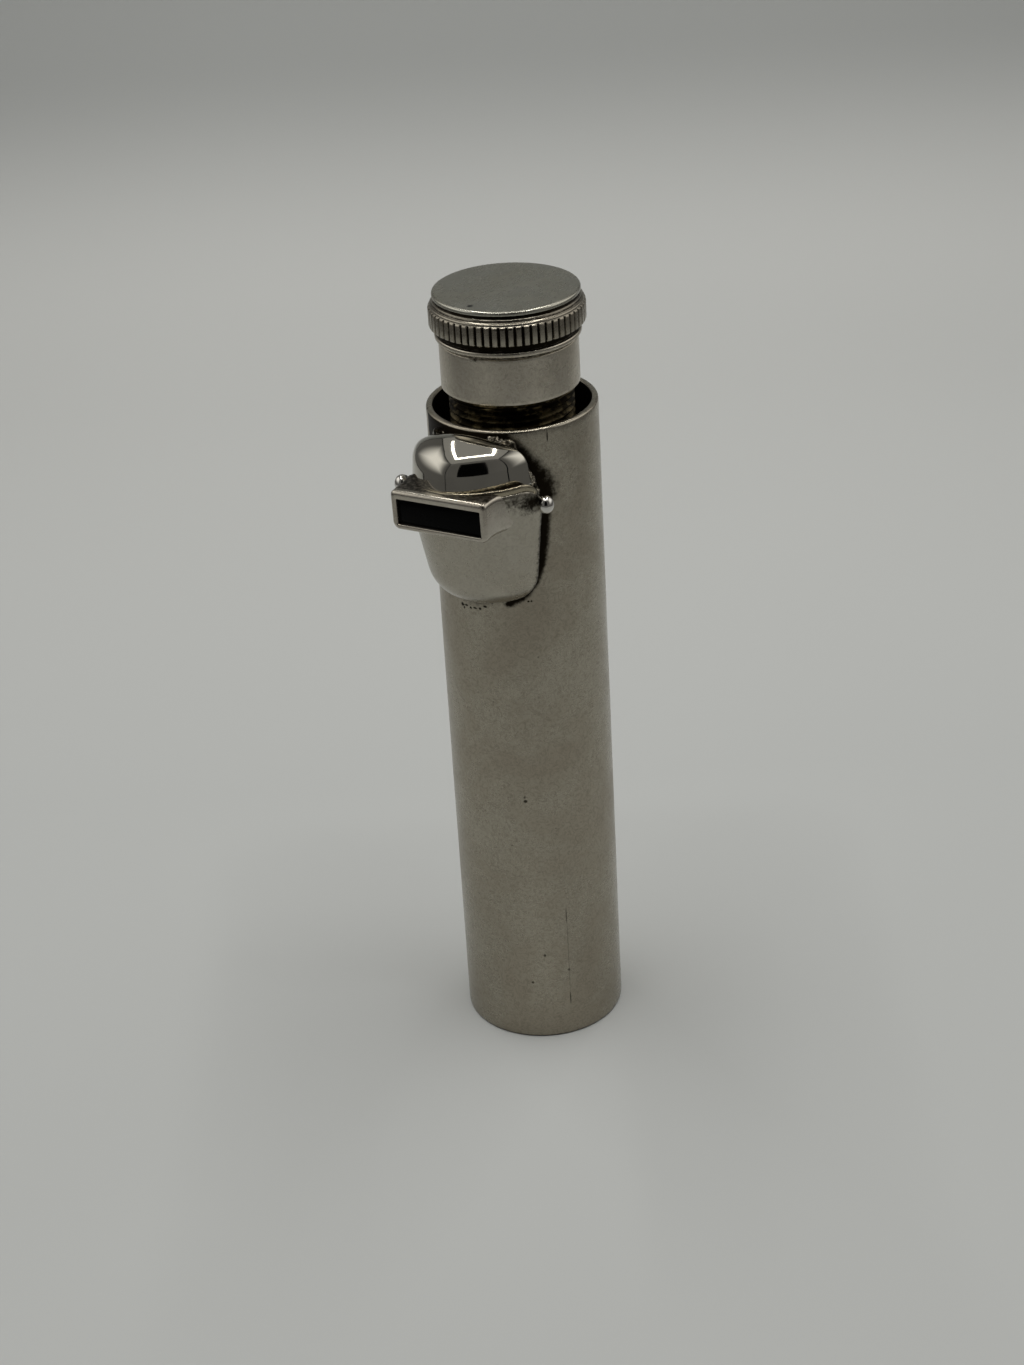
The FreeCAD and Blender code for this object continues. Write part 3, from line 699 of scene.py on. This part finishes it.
def make_knurled_band():
    """Coin-edge grip: each land has soft corners, and the grooves run out under the turned lip."""
    low, high = node_mm("knurled_band")
    radius, bottom, top = high.y, low.z, high.z
    samples = 14
    # Each row is (radius, height, how much of the groove's depth it takes)
    rows = [(7.27, bottom + 0.12, 0), (7.27, bottom, 0), (radius - 0.3, bottom, 0.6),
            (radius - 0.12, bottom, 1), (radius - 0.03, bottom + 0.06, 1),
            (radius, bottom + 0.16, 1), (radius, bottom + 0.9, 1),
            (radius, KNURL_TOP - 0.25, 1), (radius - 0.02, KNURL_TOP - 0.14, 1),
            (radius - 0.06, KNURL_TOP - 0.06, 0.75), (radius - 0.12, KNURL_TOP, 0.15),
            (radius - 0.16, KNURL_TOP + 0.03, 0), (7.92, 86.12, 0), (7.93, 86.2, 0), (7.9, 86.3, 0),
            (7.82, 86.38, 0), (7.7, 86.42, 0), (7.66, 86.46, 0), (7.66, 86.68, 0), (7.62, 86.74, 0),
            (7.44, 86.78, 0), (7.4, 86.82, 0), (7.4, top, 0), (7.27, top, 0), (7.27, 86.0, 0)]
    points, faces, depth_values = [], [], []
    segments = KNURL_TEETH * samples
    for row_radius, height, share in rows:
        for step in range(segments):
            phase = (step % samples) / samples
            groove = math.exp(-((phase - 0.5) / 0.135) ** 4)
            tooth = step // samples
            uneven = 0.9 + 0.16 * lump(tooth * 1.7, 0, 0, 1.0, 5.5)
            r = row_radius - KNURL_DEEP * share * groove * uneven
            angle = 2 * math.pi * step / segments
            points.append((r * math.cos(angle), r * math.sin(angle), height))
            depth_values.append(share * groove)
    for row in range(len(rows)):
        base, other = row * segments, (row + 1) % len(rows) * segments
        for step in range(segments):
            after = (step + 1) % segments
            faces.append((base + step, other + step, other + after, base + after))
    band = mesh_object("knurled_grip", points, faces, 50.0)
    # Painted shade in the grooves, on the grip's underside and in the turned steps next to the top disc
    underside_shade = np.repeat([1.0 if row_height < bottom + 0.02 else 0.0 for _, row_height, _ in rows], segments)
    step_corner_shade = np.repeat([0.9 if 86.43 < row_height < 86.5 or row_height > 86.76 else 0.0
                           for _, row_height, _ in rows], segments)
    add_attribute(band, "patina_and_shade", np.maximum.reduce([np.asarray(depth_values) * 1.15, underside_shade, step_corner_shade]))
    band.data.materials.append(satin_metal("grip_metal", base=GRIP_TINT, warm=GRIP_WARM,
                                           rough=(0.2, 0.32), patina_and_shade_name="patina_and_shade", swirl=0.3))
    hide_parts("knurled_band")
    return band


# ------------------------------------------------------------------ helmet

# The face and ledge are swept about an upright axis this far in front of the tube's, and stop at a
# plane that touches the tube's front. LEAN is in radians.
HELMET_AXIS, HELMET_BACK, LEAN = 6.6, 9.0, 0.05
LEAN_HEIGHT = 68


def leaning(x, y, z, share=1.0):
    """The hand-set helmet leans a little, right side up, about a point behind its window."""
    turn = LEAN * share
    return (x * math.cos(turn) - (z - LEAN_HEIGHT) * math.sin(turn), y,
            LEAN_HEIGHT + x * math.sin(turn) + (z - LEAN_HEIGHT) * math.cos(turn))


def front_sweep(name, profile, columns, shift=0.0, closed=False, thickness=0.0):
    """Sweep a profile of (radius, height) about the helmet's axis, in front of the back plane."""
    offset = HELMET_BACK - HELMET_AXIS
    points, faces = [], []
    for radius, z in profile:
        radius = max(radius, offset + 0.02)
        limit = math.acos(offset / radius)
        for column in range(columns + 1):
            angle = (column / columns * 2 - 1) * limit
            points.append(leaning(shift + radius * math.sin(angle),
                                  -HELMET_AXIS - radius * math.cos(angle), z))
    rows = len(profile)
    for row in range(rows if closed else rows - 1):
        base, other = row * (columns + 1), (row + 1) % rows * (columns + 1)
        for column in range(columns):
            faces.append((base + column, base + column + 1, other + column + 1, other + column))
    if closed:
        faces.append(tuple(row * (columns + 1) for row in range(rows)))
        faces.append(tuple(row * (columns + 1) + columns for row in reversed(range(rows))))
    obj = mesh_object(name, points, faces, 60.0)
    if thickness:
        front = sum(polygon.normal.y * polygon.area for polygon in obj.data.polygons)
        if front > 0:
            obj.data.flip_normals()
        solid = obj.modifiers.new("thickness", "SOLIDIFY")
        solid.thickness = thickness * MM
        solid.offset = -1.0
    return obj


def side_fall(swing):
    """How far the shell's top edge has fallen towards the balls, 0 at the front and about 1 at the back."""
    return max(0.0, (-swing - 42) / 31, (swing - 56) / 18) ** 2


def make_face():
    """The face: a cup that narrows to a rounded chin."""
    low, high = node_mm("mask_face_shell")
    chin, top = low.z, high.z
    inner, chin_radius, chin_round, brow_radius, steps = 2.0, 6.45, 4.4, 8.45, 26
    outline = rounded_outline([(inner, chin, 0), (chin_radius, chin, chin_round), (brow_radius, top, 0),
                               (inner, top, 0)], steps)
    profile = [point for point in outline if point != (inner, top)]
    (wall_x, wall_z), (end_x, end_z) = profile[-2:]
    profile = profile[:-1] + [(wall_x + (end_x - wall_x) * step / steps,
                               wall_z + (end_z - wall_z) * step / steps)
                              for step in range(1, steps + 1)]
    face = front_sweep("helmet_face", profile, 84, shift=0.27, thickness=0.5)
    for vertex in face.data.vertices:
        x, y, z = (c / MM for c in vertex.co)
        swing = math.degrees(math.atan2(x, -HELMET_AXIS - y))
        vertex.co.z -= 1.4 * side_fall(swing) * max(0.0, (z - 66) / 4.2) * MM
    darkness = []
    for vertex in face.data.vertices:
        x, y, z = (c / MM for c in vertex.co)
        # crease: painted shade where the frame's side meets the face; right and left: darker round the
        # studs; rim: darker along the back edge where the face meets the tube
        crease = 0.95 - abs(z - (69.5 + 0.03 * x)) * 0.5 if x > 5.2 else 0.0
        right = 1.0 - math.hypot((x - 7.6) * 1.3, z - 69.2) * 0.52
        left = 1.0 - math.hypot((x + 7.4) * 1.3, z - 68.6) * 0.6
        rim = 0.62 - (-HELMET_BACK - y) * 1.1
        darkness.append(max(0.0, min(1.0, max(0.6 * crease, right, left, rim))))
    add_attribute(face, "patina_and_shade", darkness)
    face.data.materials.append(satin_metal("face_metal", base=FACE_TINT, warm=FACE_WARM, rough=(0.2, 0.3),
                                           patina_and_shade_name="patina_and_shade"))
    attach(face, "tube")
    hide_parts("mask_face_shell")


def unit_curve(angle, power):
    """Cosine-like and sine-like values that trace a superellipse instead of a circle."""
    c, t = max(0.0, math.cos(angle)), math.sin(angle)
    size = (c ** power + abs(t) ** power) ** (1 / power)
    return c / size, t / size


def make_crown():
    """A bubble-shaped dome with nearly straight lower walls, that rolls down to the tube behind."""
    # plan and rise are the powers of its superellipses, seen from above and from the side
    centre_x, centre_y, middle = -0.05, -7.53, 72.0
    half_wide, half_deep, half_high = 6.6, 7.18, 3.86
    plan, rise, roll = 1.8, 2.17, 1.25
    back = HELMET_BACK + centre_y
    lowest, highest = -0.46, math.pi / 2
    while unit_curve(highest, rise)[0] * half_deep < back + 0.01:
        highest -= 0.002
    rows, columns = 72, 120
    points, faces = [], []
    for row in range(rows + 1):
        shrink, lift = unit_curve(lowest + (highest - lowest) * row / rows, rise)
        if lift < 0.1:
            shrink = 0.997 + 0.066 * (0.1 - lift)
        front = min(1.0, back / (half_deep * shrink))
        limit = math.atan2((1 - front ** plan) ** (1 / plan), front)
        for column in range(columns + 1):
            deep, wide = unit_curve((column / columns * 2 - 1) * limit, plan)
            y = centre_y - half_deep * deep * shrink
            sunk = max(0.0, min(1.0, (11.6 + y) / 2.6))
            widen = half_wide + 0.55 * max(0.0, wide) ** 2
            points.append(leaning(centre_x + widen * wide * shrink, y,
                                  middle + half_high * lift - roll * sunk ** 2 * max(0.0, lift) ** 2))
    for row in range(rows):
        base, other = row * (columns + 1), (row + 1) * (columns + 1)
        for column in range(columns):
            faces.append((base + column, base + column + 1, other + column + 1, other + column))
    crown = mesh_object("helmet_crown", points, faces, 60.0)
    solid = crown.modifiers.new("thickness", "SOLIDIFY")
    solid.thickness = 0.45 * MM
    solid.offset = -1.0
    crown.data.materials.append(mirror_metal("crown_mirror"))
    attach(crown, "tube")
    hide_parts("mask_crown")


def make_brow():
    """The ledge between face and crown, with painted shade in the hollow behind its soft lip."""
    profile = [(6.3, 69.9), (8.2, 69.9), (8.4, 70.0), (8.5, 70.3), (8.54, 70.6), (8.53, 70.76),
               (8.47, 70.87), (8.38, 70.91), (8.28, 70.86), (8.2, 70.72), (8.08, 70.5), (7.9, 70.35),
               (7.5, 70.25), (6.9, 70.22), (6.3, 70.25)]
    ledge = front_sweep("brow_ledge", profile, 110, shift=0.15, closed=True)
    for vertex in ledge.data.vertices:
        x, y, z = (c / MM for c in vertex.co)
        swing = math.degrees(math.atan2(x, -HELMET_AXIS - y))
        end = side_fall(swing)
        vertex.co.z -= 1.6 * end * MM
        vertex.co.x -= 0.5 * end * math.copysign(1, x) * MM
    for vertex in ledge.data.vertices:
        x, y, z = (c / MM for c in vertex.co)
        if z > 70.2:
            vertex.co.z += (0.05 * lump(x, y, 0, 0.6, 4.0) + 0.012 * max(0.0, x) + 0.002) * MM
    darkness = []
    for vertex in ledge.data.vertices:
        x, y, z = (c / MM for c in vertex.co)
        # hollow: painted shade in the hollow behind the lip; mottled: random darker mottling on the ledge
        radius = math.hypot(x, y + HELMET_AXIS)
        hollow = 1.0 - max(0.0, abs(radius - 7.6) - 0.45) / 0.3
        mottled = 0.45 * lump(x, y, 0, 0.55, 2.0)
        darkness.append(max(0.0, min(1.0, hollow * 1.1 + mottled * (radius < 8.1))))
    add_attribute(ledge, "patina_and_shade", darkness)
    ledge.data.materials.append(satin_metal("ledge_metal", base=LEDGE_TINT, warm=LEDGE_WARM,
                                            rough=(0.2, 0.32), patina_and_shade_name="patina_and_shade"))
    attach(ledge, "tube")
    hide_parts("brow_band")


def make_frame_and_lens():
    """The window's frame, flared where it meets the face and rounded at its lip, and the black pane."""
    low, high = node_mm("lens_frame")
    half, bottom, top = high.x, low.z, high.z
    front, back = -low.y, 11.8
    lens_low, lens_high = node_mm("lens")
    window_half, window_bottom, window_top = 4.86, 67.1, 69.9
    steps, lip, rounding = 8, 0.42, 0.55

    def loop(half_w, z0, z1, corner, depth, lower=0.0):
        """A rounded rectangle of points at one depth. The lower corners can be rounder."""
        arc_steps = 7
        points = []
        for cx, cz, start, size in ((half_w, z1, 0, corner), (-half_w, z1, 90, corner),
                                    (-half_w, z0, 180, corner + lower), (half_w, z0, 270, corner + lower)):
            cx -= math.copysign(size, cx)
            cz -= size if cz == z1 else -size
            for step in range(arc_steps + 1):
                angle = math.radians(start + 90 * step / arc_steps)
                points.append(leaning(cx + size * math.cos(angle), -depth, cz + size * math.sin(angle),
                                      0.35))
        return points

    loops = []
    for step in range(steps + 1):
        share = step / steps
        flare = (1 - share) ** 2.6
        loops.append(loop(half + 0.8 * flare, bottom - 0.45 * flare, top + 0.02, rounding + 0.7 * flare,
                          back + (front - 0.9 - back) * share, lower=0.25))
    for step in range(steps + 1):
        angle = math.pi / 2 * step / steps
        inset = lip * (1 - math.cos(angle))
        loops.append(loop(half - inset, bottom + inset, top - inset, rounding - inset * 0.6,
                          front - lip + lip * math.sin(angle), lower=0.25))
    loops.append(loop(window_half + 0.06, window_bottom - 0.06, window_top + 0.06, 0.16, front - 0.01))
    loops.append(loop(window_half, window_bottom, window_top, 0.12, front - 0.07))
    loops.append(loop(window_half, window_bottom, window_top, 0.12, front - 0.5))
    points = [point for ring in loops for point in ring]
    count = len(loops[0])
    faces = []
    for ring in range(len(loops) - 1):
        for step in range(count):
            after = (step + 1) % count
            faces.append((ring * count + step, ring * count + after, (ring + 1) * count + after,
                          (ring + 1) * count + step))
    holder = mesh_object("window_frame", points, faces, 60.0)
    darkness = []
    for vertex in holder.data.vertices:
        x, y, z = (c / MM for c in vertex.co)
        # deep: painted shade towards the back of the frame's right side, where it flares into the face;
        # roof: darker on the frame's top behind its front edge
        deep = 1.05 - (-y - back) * 0.85
        roof = 0.72 * min(1.0, (15.75 + y) / 0.25) if z > 70.6 + 0.02 * x and -y < 15.75 else 0.0
        darkness.append(max(0.0, min(1.0, max(deep * (x > 3.0) * (z > 68.8), roof))))
    add_attribute(holder, "patina_and_shade", darkness)
    holder.data.materials.append(satin_metal("frame_metal", base=FRAME_TINT, warm=FRAME_WARM,
                                             rough=(0.18, 0.28), patina_and_shade_name="patina_and_shade"))
    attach(holder, "tube")
    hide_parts("lens_frame")

    pane_front = -lens_low.y
    pane = rounded_box("window_pane", (-5.0, -pane_front, lens_low.z + 0.05),
                       (5.0, -pane_front + 0.75, lens_high.z - 0.05), 0.08)
    pane.data.materials.append(black_glass("pane_glass"))
    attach(pane, "tube")
    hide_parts("lens")


def rounded_box(name, low, high, rounding):
    """A box between two corners in millimetres, with rounded edges."""
    mesh = bmesh.new()
    bmesh.ops.create_cube(mesh, size=1.0)
    size = [b - a for a, b in zip(low, high)]
    centre = [(a + b) / 2 for a, b in zip(low, high)]
    for vertex in mesh.verts:
        vertex.co = Vector([(c + v * s) * MM for c, v, s in zip(centre, vertex.co, size)])
    bmesh.ops.bevel(mesh, geom=mesh.edges[:], offset=rounding * MM, segments=3, affect="EDGES", profile=0.5)
    data = bpy.data.meshes.new(name)
    mesh.to_mesh(data)
    mesh.free()
    obj = bpy.data.objects.new(name, data)
    bpy.context.scene.collection.objects.link(obj)
    data.shade_smooth()
    data.set_sharp_from_angle(angle=math.radians(40))
    return obj


def make_studs():
    """The two polished balls, a little taller than wide."""
    stretch = 1.14
    for side in ("left", "right"):
        low, high = node_mm(side + "_pivot_stud")
        centre, radius = (low + high) / 2, (high.x - low.x) / 2
        mesh = bmesh.new()
        bmesh.ops.create_uvsphere(mesh, u_segments=48, v_segments=32, radius=radius * MM)
        data = bpy.data.meshes.new(side + "_ball")
        mesh.to_mesh(data)
        mesh.free()
        data.transform(Matrix.Diagonal((1.0, 1.0, stretch, 1.0)))
        data.transform(Matrix.Translation(Vector(leaning(*centre, 0.6)) * MM))
        ball = bpy.data.objects.new(side + "_ball", data)
        bpy.context.scene.collection.objects.link(ball)
        data.shade_smooth()
        data.materials.append(mirror_metal(side + "_ball_mirror", BALL_TINT))
        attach(ball, "tube")
        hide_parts(side + "_pivot_stud")


def make_solder():
    """Rough beads where the helmet meets the tube: a trail on the right, the chin, and two rows behind."""
    tube_radius = 9.0
    rng = np.random.default_rng(11)
    seats = []    # each is (across, height, size, how deep it is for its size)
    for (x0, z0, _), (x1, z1, _) in zip(SOLDER_TRAIL, SOLDER_TRAIL[1:]):
        for step in range(3):
            share = step / 3
            x = x0 + (x1 - x0) * share - 0.15 + rng.normal(0, 0.12)
            z = z0 + (z1 - z0) * share + rng.normal(0, 0.14)
            seats.append((x, z, 0.36 + 0.26 * rng.random(), 0.7))
    for step in range(9):
        x = -2.4 + step * 0.62 + rng.normal(0, 0.12)
        seats.append((x, 56.1 + 0.035 * x * x + rng.normal(0, 0.1), 0.16 + 0.12 * rng.random(), 0.3))
    for step in range(15):
        for side in (-1, 1):
            z = 57.6 + step * 1.12 + rng.normal(0, 0.12)
            seats.append((side * (2.7 + 1.1 * min(1.0, step / 5)), z, 0.95 + 0.12 * rng.random(), 0.75))
    whole = bmesh.new()
    for x, z, size, flat in seats:
        lift = math.sqrt(max(0.0, tube_radius ** 2 - x * x)) + size * 0.15
        before = len(whole.verts)
        bmesh.ops.create_icosphere(whole, subdivisions=4, radius=1.0)
        whole.verts.ensure_lookup_table()
        for vertex in whole.verts[before:]:
            direction = vertex.co.copy()
            bulge = 1 + 0.42 * lump(direction.x + x, direction.y + z, direction.z, 1.3, x)
            spread = Vector((direction.x, direction.y * (flat + 0.3), direction.z))
            vertex.co = (Vector((x, -lift, z)) + spread * (size * bulge)) * MM
    data = bpy.data.meshes.new("solder_beads")
    whole.to_mesh(data)
    whole.free()
    beads = bpy.data.objects.new("solder_beads", data)
    bpy.context.scene.collection.objects.link(beads)
    data.shade_smooth()
    data.materials.append(dark_solder("bead_metal"))
    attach(beads, "tube")
    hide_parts("solder_fillets")


def finish_cad_nodes():
    """Materials for the CAD nodes that stay."""
    finishes = {
        "base_disc": satin_metal("base_metal"),
        "inner_vial": tarnished_brass("vial_brass"),
        "threaded_neck": tarnished_brass("neck_brass"),
        "shoulder_ring": tarnished_brass("shoulder_brass"),
        "lower_spacer_ring": tarnished_brass("spacer_brass"),
        "cap_thread_insert": tarnished_brass("insert_brass"),
        "cap_seal": dull_rubber("seal_rubber"),
        "lens_backing_plate": satin_metal("backing_metal"),
    }
    for name, material in finishes.items():
        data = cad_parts[name].data
        data.materials.clear()
        data.materials.append(material)


add_camera()
add_sweep()
add_tent()
add_world()
bpy.context.scene.view_settings.view_transform = "Standard"
make_tube()
make_cap()
make_face()
make_crown()
make_brow()
make_frame_and_lens()
make_studs()
make_solder()
finish_cad_nodes()
